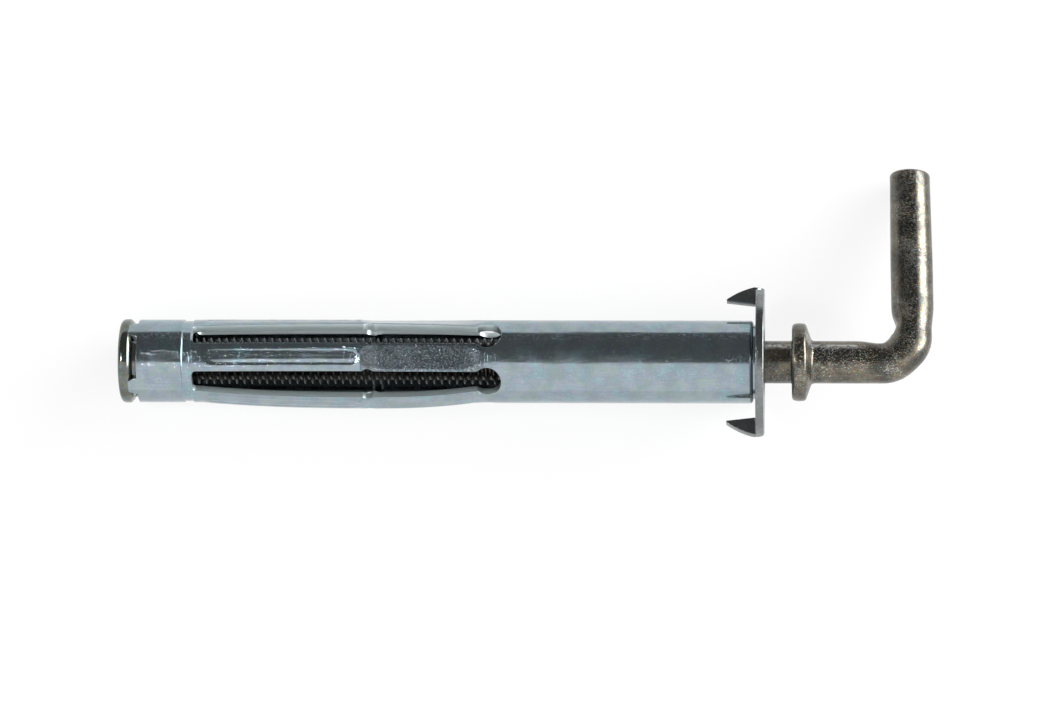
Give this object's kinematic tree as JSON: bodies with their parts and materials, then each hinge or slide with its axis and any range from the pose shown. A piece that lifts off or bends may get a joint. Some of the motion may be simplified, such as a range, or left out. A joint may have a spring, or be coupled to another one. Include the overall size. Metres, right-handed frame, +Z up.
{
  "type": "hollow-wall anchor with hook screw",
  "caption": "Slotted steel sleeve anchor for hollow walls, with a clawed wall plate, a crimped-in nut and a square hook screw with a collar.",
  "frame": {"origin": "on the floor, under the middle of the lying anchor's box", "axes": "+X along the lying anchor from the nut end towards the hook, +Y the way the hook's arm points, +Z up"},
  "size_m": [0.0856, 0.0283, 0.016],
  "materials": {
    "sleeve_zinc": "bright blue-white zinc plating on rolled steel",
    "nut_zinc": "bright zinc plating on a turned steel nut",
    "plate_zinc": "bright zinc plating on a stamped steel plate",
    "hook_zinc": "pale yellow passivated zinc plating on drawn wire"
  },
  "bodies": {
    "anchor": {"sleeve": "sleeve_zinc", "nut": "nut_zinc", "claw_plate": "plate_zinc"},
    "hook": {"hook_screw": "hook_zinc"}
  },
  "joints": [
    {"name": "hook_turn", "type": "hinge", "parent": "anchor", "child": "hook", "pos_m": [0.02402, -0.00612, 0.00798], "axis": [0.9985, 0, 0.0542], "range_deg": [-1305, 2520]}
  ]
}
